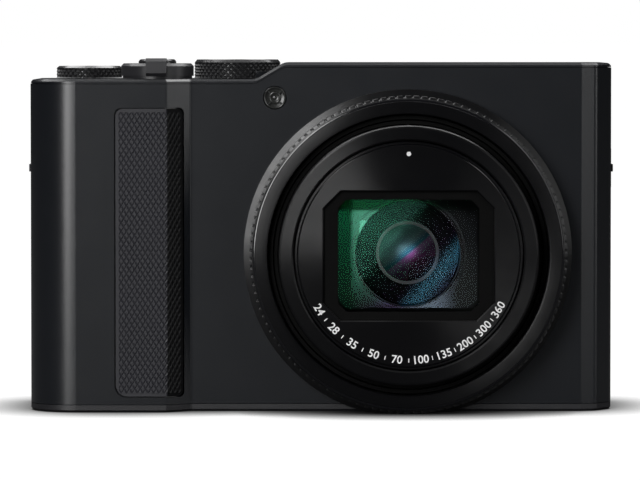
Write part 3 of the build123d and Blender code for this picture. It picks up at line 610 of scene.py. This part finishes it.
def build_rear_group():
    """The rear lens group: a steep front glass, a hollow one behind it, and a dark stop with a round hole."""
    radius = 5.4 * MM
    outer = moved(dome(radius, 1.9 * MM), Matrix.Translation((0, 0, -1.7 * MM)))
    hollow = Matrix.Translation((0, 0, -2.9 * MM)) @ Matrix.Diagonal((1, 1, -1, 1))
    inner = moved(dome(3.6 * MM, 0.9 * MM), hollow)
    vertices, faces = joined(outer, inner)
    group = new_piece("rear_group_glass", placed(vertices, (LENS_X, REAR_CELL_FRONT, LENS_Z), FORWARD), faces,
                      FINISH["rear_glass"], "zoom_carriage", sharp=60)
    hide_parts("rear_lens")
    stop = [(radius, -2.4 * MM), (3.7 * MM, -3.0 * MM), (1.6 * MM, -4.4 * MM), (1.2 * MM, -4.5 * MM),
            (1.6 * MM, -4.8 * MM), (radius, -4.8 * MM)]
    vertices, faces = lathe(stop, 96)
    new_piece("aperture_stop", placed(vertices, (LENS_X, REAR_CELL_FRONT, LENS_Z), FORWARD), faces,
              FINISH["deep_black"], "zoom_carriage")


# ================================================================ the top controls
def build_dial(node, columns, low_band, high_band):
    """A dial with a diamond knurl round its side, a plain bevelled rim and a dished top."""
    low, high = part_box(node)
    centre = (low + high) / 2
    radius, top = (high.x - low.x) / 2, high.z
    bottom, rim = top - high_band, top - low_band
    rows = round((rim - bottom) / (0.6 * MM))
    depth = 0.38 * MM

    def side(column, row, height):
        angle = math.tau * column / (2 * columns)
        out = radius - depth + (depth - 0.02 * MM) * height
        return (out * math.cos(angle), out * math.sin(angle), bottom + (rim - bottom) * row / rows)

    knurl = diamonds(2 * columns, rows, side, 0.25, closed=True)
    root = radius - depth
    cap = lathe([
        (root, rim - 0.05 * MM), (radius - 0.1 * MM, rim + 0.02 * MM), (radius - 0.08 * MM, rim + 0.12 * MM),
        (radius - 0.5 * MM, top), (radius - 1.0 * MM, top), (radius - 1.15 * MM, top - 0.12 * MM),
        (1.2 * MM, top - 0.16 * MM), (1.1 * MM, top - 0.22 * MM), (0.01 * MM, top - 0.24 * MM),
    ], 144, closed=False)
    base = lathe([(0.01 * MM, bottom), (root, bottom), (root, bottom + 0.1 * MM)], 144, closed=False)
    vertices, faces = joined(knurl, cap, base)
    dial = new_piece(node + "_knurled", placed(vertices, (centre.x, centre.y, 0), UPRIGHT), faces,
                     FINISH["dial_black"], node, 20)
    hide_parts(node)
    return centre, radius, top


def build_mode_dial():
    centre, radius, top = build_dial("mode_dial", 46, 0.62 * MM, 3.55 * MM)
    marks = []
    places = 9
    for index in range(places):
        angle = 90 + 360 / places * index
        figure = numerals(str(index + 1), 1.7 * MM, 0.02 * MM, 0.02 * MM)
        marks.append(moved(figure, on_circle(radius - 2.7 * MM, angle, angle - 90)))
    vertices, faces = joined(*marks)
    vertices = placed(vertices, (centre.x, centre.y, top - 0.14 * MM), UPRIGHT)
    new_piece("mode_dial_numbers", vertices, faces, FINISH["white_ink"], "mode_dial")
    bar = plate(slot_outline(1.5 * MM, 0.35 * MM), 0.03 * MM, 0.01 * MM)
    vertices, faces = moved(bar, Matrix.Rotation(math.radians(90), 4, "Z"))
    spot = (centre.x, centre.y + radius + 1.4 * MM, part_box("mode_dial")[1].z - 3.7 * MM)
    new_piece("mode_dial_index", placed(vertices, spot, UPRIGHT), faces, FINISH["white_ink"], "casing")


def build_rear_dial():
    build_dial("rear_dial", 36, 0.45 * MM, 2.25 * MM)


# ================================================================ the grip and the back
def pattern_field(name, columns, rows, point, finish, body):
    """A moulded field of diamonds; point(share_along, share_up) gives a place on it and the way out."""
    groove, relief = 0.01 * MM, 0.13 * MM

    def surface(column, row, height):
        place, out = point(column / columns, row / rows)
        return place + out * (groove + (relief - groove) * height)

    vertices, faces = diamonds(columns, rows, surface, 0.55)
    return new_piece(name, vertices, faces, finish, body, 8)


def build_grip_pattern():
    """The insert's diamonds run over its flat front and on round its folded inner edge."""
    low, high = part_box("grip_insert")
    border = 0.6 * MM
    fold_x = low.x + GRIP_FLAT
    slope = Vector((4.5, 3.5, 0)).normalized()
    slope_out = Vector((slope.y, -slope.x, 0))
    flat = fold_x - low.x - border
    folded = (high.x - fold_x) / slope.x - border
    columns = 2 * round((flat + folded) / (1.0 * MM))
    rows = 2 * round((high.z - low.z - 2 * border) / (1.6 * MM))

    def point(along, up):
        run = along * (flat + folded)
        z = low.z + border + up * (high.z - low.z - 2 * border)
        if run < flat:
            return Vector((low.x + border + run, GRIP_FRONT, z)), Vector((0, -1, 0))
        return Vector((fold_x, GRIP_FRONT, z)) + slope * (run - flat), slope_out

    pattern_field("grip_pattern", columns, rows, point, FINISH["grip_rubber"], "casing")


def build_thumb_pattern():
    low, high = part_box("thumb_rest")
    border = 1.9 * MM
    width, height = high.x - low.x - 2 * border, high.z - low.z - 2 * border

    def point(along, up):
        place = Vector((low.x + border + along * width, high.y, low.z + border + up * height))
        return place, Vector((0, 1, 0))

    pattern_field("thumb_pattern", 2 * round(width / MM), 2 * round(height / (1.6 * MM)), point,
                  FINISH["grip_rubber"], "casing")


def build_af_lamp():
    """A smoky window with a reflector's rings and its four clips under it."""
    low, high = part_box("af_lamp")
    centre, radius = (low + high) / 2, 2.1 * MM
    front = low.y
    rings = lathe([
        (radius, -0.6 * MM), (radius, 0), (radius - 0.12 * MM, 0.06 * MM), (radius - 0.26 * MM, 0),
        (radius - 0.34 * MM, -0.5 * MM), (1.2 * MM, -0.6 * MM), (1.1 * MM, -0.12 * MM),
        (0.95 * MM, -0.06 * MM), (0.8 * MM, -0.12 * MM), (0.7 * MM, -0.45 * MM), (0.4 * MM, -0.5 * MM),
        (0.3 * MM, -0.2 * MM), (0.01 * MM, -0.12 * MM),
    ], 64, closed=False)
    clips = []
    for turn in (45, 135, 225, 315):
        clip = moved(plate(slot_outline(0.75 * MM, 0.42 * MM, 4), 0.5 * MM, 0.06 * MM),
                     on_circle(1.45 * MM, turn, turn, -0.58 * MM))
        clips.append(clip)
    vertices, faces = joined(rings, *clips)
    lamp = new_piece("af_lamp_reflector", placed(vertices, (centre.x, front, centre.z), FORWARD), faces,
                     FINISH["smoky_plastic"], "casing")
    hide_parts("af_lamp")


def build_dioptre_dial():
    low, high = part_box("dioptre_dial")
    centre, radius = (low + high) / 2, (high.x - low.x) / 2
    face = high.y
    rib = 0.16 * MM

    def ripple(corner, angle):
        return tooth_cut(angle, 36, rib) if corner in (1, 2) else 0

    vertices, faces = lathe([
        (0.01 * MM, -1.75 * MM), (radius, -1.75 * MM), (radius, -0.3 * MM), (radius - 0.3 * MM, 0),
        (radius - 0.7 * MM, 0), (radius - 0.8 * MM, -0.08 * MM), (0.01 * MM, -0.1 * MM),
    ], 36 * 8, closed=False, ripple=ripple)
    dial = new_piece("dioptre_dial_ribbed", placed(vertices, (centre.x, face, centre.z), BACKWARD), faces,
                     FINISH["dial_black"], "dioptre_dial")
    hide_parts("dioptre_dial")


def build_button_marks():
    """Plain pictures on the buttons of the back, and arrowheads round the four-way pad."""
    relief = 0.02 * MM
    triangle = [(-0.45 * MM, -0.6 * MM), (0.65 * MM, 0), (-0.45 * MM, 0.6 * MM)]
    bar = plate(slot_outline(1.7 * MM, 0.24 * MM, 4), relief, relief / 4)
    lines = joined(*[moved(bar, Matrix.Translation((0, step * 0.6 * MM, 0))) for step in (-1, 0, 1)])
    bin_outline = [(-0.45 * MM, -0.8 * MM), (0.45 * MM, -0.8 * MM), (0.6 * MM, 0.35 * MM),
                   (-0.6 * MM, 0.35 * MM)]
    bin_body = plate(bin_outline, relief, relief / 4)
    bin_lid = moved(bar, Matrix.Translation((0, 0.65 * MM, 0)))
    pictures = {
        "playback_button": plate(triangle, relief, relief / 4),
        "menu_button": lines,
        "delete_button": joined(bin_body, bin_lid),
    }
    for node, (vertices, faces) in pictures.items():
        centre, face = centre_of(node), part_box(node)[1].y
        new_piece(node + "_mark", placed(vertices, (centre.x, face, centre.z), BACKWARD), faces,
                  FINISH["white_ink"], node)
    movie, top = centre_of("movie_button"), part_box("movie_button")[1].z
    vertices, faces = plate(circle_outline(0.9 * MM), relief, relief / 4)
    new_piece("movie_button_dot", placed(vertices, (movie.x, movie.y, top), UPRIGHT), faces,
              FINISH["red_ink"], "movie_button")
    centre, face = centre_of("four_way_pad"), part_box("four_way_pad")[1].y
    arrow = plate([(-0.55 * MM, -0.35 * MM), (0.55 * MM, -0.35 * MM), (0, 0.45 * MM)], relief, relief / 4)
    arrows = [moved(arrow, on_circle(6.7 * MM, turn, turn - 90)) for turn in (0, 90, 180, 270)]
    vertices, faces = joined(*arrows)
    new_piece("four_way_pad_marks", placed(vertices, (centre.x, face, centre.z), BACKWARD), faces,
              FINISH["white_ink"], "four_way_pad")


def build_eyepiece():
    """A soft rim round the eyepiece."""
    housing_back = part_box("evf_housing")[1].y
    glass_low, glass_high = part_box("eyepiece_glass")
    centre = (glass_low + glass_high) / 2
    width, height = glass_high.x - glass_low.x, glass_high.z - glass_low.z
    steps, section = 96, 8
    squareness, thickness, rise = 0.55, 0.45 * MM, 0.4 * MM
    vertices, faces = [], []
    for step in range(steps):
        angle = math.tau * step / steps
        across = math.copysign(abs(math.cos(angle)) ** squareness, math.cos(angle))
        up = math.copysign(abs(math.sin(angle)) ** squareness, math.sin(angle))
        out = Vector((across * width / 2, up * height / 2, 0))
        for turn in range(section):
            bend = math.tau * turn / section
            side = out.normalized() * thickness * math.cos(bend)
            vertices.append(out + side + Vector((0, 0, rise * math.sin(bend))))
    for step in range(steps):
        for turn in range(section):
            here, after = step * section, (step + 1) % steps * section
            following = (turn + 1) % section
            faces.append((here + turn, after + turn, after + following, here + following))
    vertices = placed(vertices, (centre.x, housing_back - thickness, centre.z), BACKWARD)
    new_piece("eyepiece_rim", vertices, faces, FINISH["grip_rubber"], "casing", 60)


def build_tripod_thread():
    """The tripod bush with its screw thread cut into the bore."""
    low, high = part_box("tripod_bush")
    centre, outer, bore, pitch, depth = (low + high) / 2, 5.0 * MM, 2.6 * MM, 1.27 * MM, 0.45 * MM
    segments, per_turn = 64, 8
    top = 6.0 * MM
    rows = round(top / pitch * per_turn)
    vertices, faces = [], []
    for row in range(rows + 1):
        for segment in range(segments):
            height = top * row / rows
            phase = (height / pitch - segment / segments) % 1
            radius = bore + depth * (1 - abs(2 * phase - 1)) * min(1, row, rows - row)
            angle = math.tau * segment / segments
            vertices.append((radius * math.cos(angle), radius * math.sin(angle), height))
    for row in range(rows):
        for segment in range(segments):
            after = (segment + 1) % segments
            here, above = row * segments, (row + 1) * segments
            faces.append((here + segment, here + after, above + after, above + segment))
    flange, shoulder, end = 6.4 * MM, 1.4 * MM, 6.9 * MM
    collar = lathe([
        (bore, 0), (bore + 0.25 * MM, -0.02 * MM), (outer - 0.2 * MM, -0.02 * MM), (outer, 0.15 * MM),
        (outer, shoulder), (flange, shoulder), (flange, 2.9 * MM), (outer, 2.9 * MM), (outer, end),
        (0.01 * MM, end), (0.01 * MM, top), (bore, top),
    ], segments, closed=False)
    shape, faces = joined((vertices, faces), collar)
    bush = new_piece("tripod_bush_threaded", placed(shape, (centre.x, centre.y, low.z), UPRIGHT), faces,
                     FINISH["brass"], "casing")
    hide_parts("tripod_bush")


def build_flash_window():
    """The flash's clear front, ribbed up and down to spread its light."""
    low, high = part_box("flash_window")
    width, height, depth = high.x - low.x, high.z - low.z, high.y - low.y
    ribs, rib, levels = 34, 0.14 * MM, 6
    vertices, faces = [], []
    for level in range(levels + 1):
        for step in range(2 * ribs + 1):
            lean = 0.3 * MM * (1 - level / levels)
            vertices.append((low.x + width * step / (2 * ribs), low.y + 0.02 * MM + rib * (step % 2) + lean,
                             low.z + height * level / levels))
    across = 2 * ribs + 1
    for level in range(levels):
        for step in range(2 * ribs):
            here = level * across + step
            faces.append((here, here + 1, here + across + 1, here + across))
    window = new_piece("flash_window_ribbed", vertices, faces, FINISH["milky_window"], "flash_head",
                       15)
    thicken = window.modifiers.new("thickness", "SOLIDIFY")
    thicken.thickness = depth * 0.4
    thicken.offset = 0
    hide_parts("flash_window")


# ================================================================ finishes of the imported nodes
def make_finishes():
    return {
        "body_black": paint_like("body_black_paint", (0.007, 0.008, 0.010), 0.26, height=0.003 * MM,
                                 tone=0.06, spread=0.008),
        "cover_plastic": paint_like("cover_plastic_moulded", (0.012, 0.012, 0.014), 0.42, height=0.008 * MM),
        "lens_black": turned_finish("lens_black_anodised", (0.003, 0.003, 0.0035), 0.31, 0.6),
        "face_black": domed_finish("face_black_anodised", (0.003, 0.003, 0.0035), 0.31, 0.26, 0.1),
        "lens_plastic": paint_like("lens_plastic_matt", (0.008, 0.008, 0.009), 0.6),
        "deep_black": paint_like("deep_black_tube", (0.003, 0.003, 0.003), 0.9, Specular_IOR_Level=0.1),
        "grip_rubber": rubber_finish("grip_rubber_soft", (0.017, 0.017, 0.022), 0.55),
        "dial_black": paint_like("dial_black_metal", (0.014, 0.014, 0.015), 0.25, Specular_IOR_Level=0.7),
        "button_black": paint_like("button_black_plastic", (0.018, 0.018, 0.020), 0.36),
        "screen_glass": screen_finish(),
        "window_clear": paint_like("window_smoky", (0.05, 0.05, 0.05), 0.15),
        "steel": paint_like("steel_pressed", (0.42, 0.42, 0.43), 0.34, Metallic=1.0),
        "screw_black": paint_like("screw_black_oxide", (0.030, 0.030, 0.032), 0.3, Metallic=0.8),
        "brass": paint_like("bush_metal", (0.55, 0.55, 0.56), 0.3, Metallic=1.0),
        "board_green": paint_like("board_green_mask", (0.01, 0.09, 0.04), 0.35, tone=0.3),
        "cell_grey": paint_like("cell_grey_wrap", (0.10, 0.10, 0.11), 0.5),
        "white_plastic": paint_like("white_plastic_moulded", (0.7, 0.7, 0.68), 0.4),
        # The three glasses' reflections are tinted, brightened and dimmed by place with painted reflection
        # colour.
        "lens_glass": glass_with_painted_reflections("front_glass_painted_reflections", front_tint_and_painted_reflection, 3.0),
        "middle_glass": glass_with_painted_reflections("middle_glass_painted_reflections", middle_tint_and_painted_reflection, 3.0),
        "rear_glass": glass_with_painted_reflections("rear_glass_painted_reflections", rear_tint_and_painted_reflection, 16.0, 0.34),
        "red_ink": paint_like("red_ink_print", (0.30, 0.012, 0.012), 0.35, height=0.001 * MM),
        "white_ink": paint_like("white_ink_print", (0.78, 0.78, 0.78), 0.5, height=0.001 * MM),
        "polished_edge": paint_like("polished_edge_metal", (0.55, 0.55, 0.55), 0.22, Metallic=1.0),
        "pale_ring": paint_like("pale_ring_metal", (0.40, 0.34, 0.38), 0.4, Metallic=0.4),
        "smoky_plastic": paint_like("smoky_plastic_gloss", (0.022, 0.023, 0.022), 0.22),
        "gloss_black": paint_like("gloss_black_window", (0.005, 0.005, 0.006), 0.06),
        "milky_window": paint_like("milky_window_plastic", (0.50, 0.50, 0.48), 0.15),
    }


def dress_frame():
    """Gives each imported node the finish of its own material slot."""
    for part in frame["record"]["subparts"]:
        node = frame["nodes"][part["node"]]
        finish = NODE_FINISH.get(part["node"], part["material_slot"])
        node.material_slots[0].material = FINISH[finish]


# ================================================================ the room
def build_floor():
    """A wide white floor that glows for the camera, with a painted soft contact shadow under the camera, and
    dark in the camera's own gloss.
    """
    mesh = bpy.data.meshes.new("floor")
    reach = 30.0
    corners = [(-reach, -reach, 0), (reach, -reach, 0), (reach, reach, 0), (-reach, reach, 0)]
    mesh.from_pydata(corners, [], [(0, 1, 2, 3)])
    floor = bpy.data.objects.new("floor", mesh)
    bpy.context.scene.collection.objects.link(floor)
    floor.location.z = cad_box[0][2]
    material, shader = new_material("floor_white", Roughness=0.9, Emission_Color=(1, 1, 1, 1))
    seen = add_node(material, "ShaderNodeLightPath").outputs["Is Camera Ray"]
    colour = blend_colours(material, seen, (0.02, 0.02, 0.02), (0, 0, 0))
    link(material, colour, shader.inputs["Base Color"])
    # Painted contact shadow: the floor's glow is dimmed where the camera's body hems it in.
    reach_of_shadow = 14 * MM
    nearness = add_node(material, "ShaderNodeAmbientOcclusion", {"samples": 16},
                        Distance=reach_of_shadow).outputs["AO"]
    painted_contact_shadow = add_node(material, "ShaderNodeMath", {"operation": "POWER"})
    link(material, nearness, painted_contact_shadow.inputs[0])
    painted_contact_shadow.inputs[1].default_value = 2.6
    glow = arithmetic(material, "MULTIPLY", seen, painted_contact_shadow.outputs[0])
    link(material, glow, shader.inputs["Emission Strength"])
    mesh.materials.append(material)


def build_world():
    """White behind everything the camera sees, and dim in what falls on the camera."""
    world = bpy.data.worlds.new("studio")
    world.use_nodes = True
    tree = world.node_tree
    seen, lit = tree.nodes["Background"], tree.nodes.new("ShaderNodeBackground")
    seen.inputs["Color"].default_value = (1, 1, 1, 1)
    seen.inputs["Strength"].default_value = 1.0
    lit.inputs["Color"].default_value = (0.95, 0.97, 1.0, 1)
    lit.inputs["Strength"].default_value = 0.04
    path = tree.nodes.new("ShaderNodeLightPath")
    mixed = tree.nodes.new("ShaderNodeMixShader")
    tree.links.new(path.outputs["Is Camera Ray"], mixed.inputs[0])
    tree.links.new(lit.outputs[0], mixed.inputs[1])
    tree.links.new(seen.outputs[0], mixed.inputs[2])
    tree.links.new(mixed.outputs[0], tree.nodes["World Output"].inputs["Surface"])
    bpy.context.scene.world = world


def softbox(name, azimuth, elevation, distance, width, height, strength,
            target=Vector((0, FRONT, 0.033)), colour=(1, 1, 1)):
    """An area light aimed at target, which is the camera's middle unless it is given.
    Both angles are in degrees: azimuth 0 is straight in front and grows to the right, and elevation is up.
    strength is its brightness as a surface, so that its size doesn't change how bright it looks."""
    light = bpy.data.lights.new(name, "AREA")
    light.shape = "RECTANGLE"
    light.size, light.size_y = width, height
    light.energy = strength * width * height * math.pi
    light.color = colour
    box = bpy.data.objects.new(name, light)
    bpy.context.scene.collection.objects.link(box)
    turn, lift = math.radians(azimuth), math.radians(elevation)
    direction = Vector((math.sin(turn) * math.cos(lift), -math.cos(turn) * math.cos(lift), math.sin(lift)))
    box.location = target + direction * distance
    box.rotation_euler = (-direction).to_track_quat("-Z", "Y").to_euler()
    return box


def lit_group(name, nodes, state):
    """A group of pieces that a light either reaches alone or leaves out, or whose shadows it ignores."""
    group = bpy.data.collections.new(name)
    for node in nodes:
        group.objects.link(node)
    for member in group.collection_objects:
        member.light_linking.link_state = state
    return group


def build_lights():
    glass = [frame["nodes"]["front_lens"], frame["nodes"]["middle_lens"]]
    glass.append(bpy.data.objects["rear_group_glass"])
    metal = [frame["nodes"][node] for node in ("lens_flange", "barrel_outer", "barrel_inner", "lens_bezel")]
    metal += [bpy.data.objects["control_ring_ribbed"], bpy.data.objects["control_ring_front"]]
    rubber = [frame["nodes"]["grip_insert"], bpy.data.objects["grip_pattern"]]
    glass_only = lit_group("lit_glass_only", glass, "INCLUDE")
    not_glass = lit_group("lit_all_but_glass", glass, "EXCLUDE")
    not_lens = lit_group("lit_all_but_lens", glass + metal, "EXCLUDE")
    not_rubber = lit_group("lit_all_but_rubber", glass + rubber, "EXCLUDE")
    # Each softbox is given its azimuth, elevation, distance, width, height and strength.
    lens = Vector((LENS_X, FRONT, LENS_Z))
    lens_fill = softbox("lens_fill", 0, 0, 0.13, 0.094, 0.058, 4.0, target=lens)
    lens_fill.light_linking.receiver_collection = glass_only
    cool_white = (0.82, 0.92, 1.12)
    front_fill = softbox("front_fill", -8, 1, 1.0, 0.46, 0.46, 0.08, colour=cool_white)
    front_fill.light_linking.receiver_collection = not_lens
    # The lens throws no shadow in this light, so the grip's inner slope is lit over its whole height.
    right_side = softbox("right_side", 75, 10, 1.2, 0.3, 0.9, 2.4)
    right_side.light_linking.receiver_collection = not_rubber
    right_side.light_linking.blocker_collection = not_lens
    right_strip = softbox("right_strip", 40, 14, 1.2, 0.24, 1.1, 2.8)
    right_strip.light_linking.receiver_collection = not_rubber
    others = [
        softbox("key_softbox", -34, 34, 1.1, 0.40, 0.30, 4.0),
        softbox("left_strip", -24, 4, 1.2, 0.36, 1.4, 11.0),
        softbox("left_side", -90, 50, 1.2, 0.5, 0.5, 2.5),
        softbox("overhead", 0, 80, 1.1, 1.4, 0.7, 0.7),
        softbox("back_left", -150, 58, 1.4, 0.8, 0.8, 7.0),
        softbox("back_right", 150, 58, 1.4, 0.8, 0.8, 7.0),
    ]
    for light in others:
        light.light_linking.receiver_collection = not_glass


def build_camera():
    """The camera stands 0.9 m in front, a little above, and looks slightly down."""
    data = bpy.data.cameras.new("camera")
    data.lens, data.sensor_width = 266.0, 36.0
    data.clip_start, data.clip_end = 0.05, 100.0
    camera = bpy.data.objects.new("camera", data)
    bpy.context.scene.collection.objects.link(camera)
    camera.location = (0.0, FRONT - 0.9, 0.072)
    aim = Vector((-0.0002, FRONT, 0.0327))
    camera.rotation_euler = (aim - camera.location).to_track_quat("-Z", "Y").to_euler()
    bpy.context.scene.camera = camera
    bpy.context.scene.view_settings.view_transform = "Standard"


FINISH = make_finishes()
NODE_FINISH = {
    "lens_housing": "deep_black",
    "cam_barrel": "deep_black",
    "zoom_carriage": "deep_black",
    "lens_bezel": "face_black",
    "barrel_inner": "face_black",
    "barrel_outer": "face_black",
    "middle_lens": "middle_glass",
    "eyepiece_glass": "gloss_black",
}

dress_frame()
build_control_ring()
build_rim("bezel_rim", BEZEL_R - 0.02 * MM, -0.13 * MM, BEZEL_FRONT, "barrel_inner")
build_focal_scale()
build_window_dark_sheet()
build_lens_rings()
build_rear_group()
build_mode_dial()
build_rear_dial()
build_grip_pattern()
build_thumb_pattern()
build_af_lamp()
build_dioptre_dial()
build_button_marks()
build_eyepiece()
build_tripod_thread()
build_flash_window()
build_floor()
build_world()
build_lights()
build_camera()
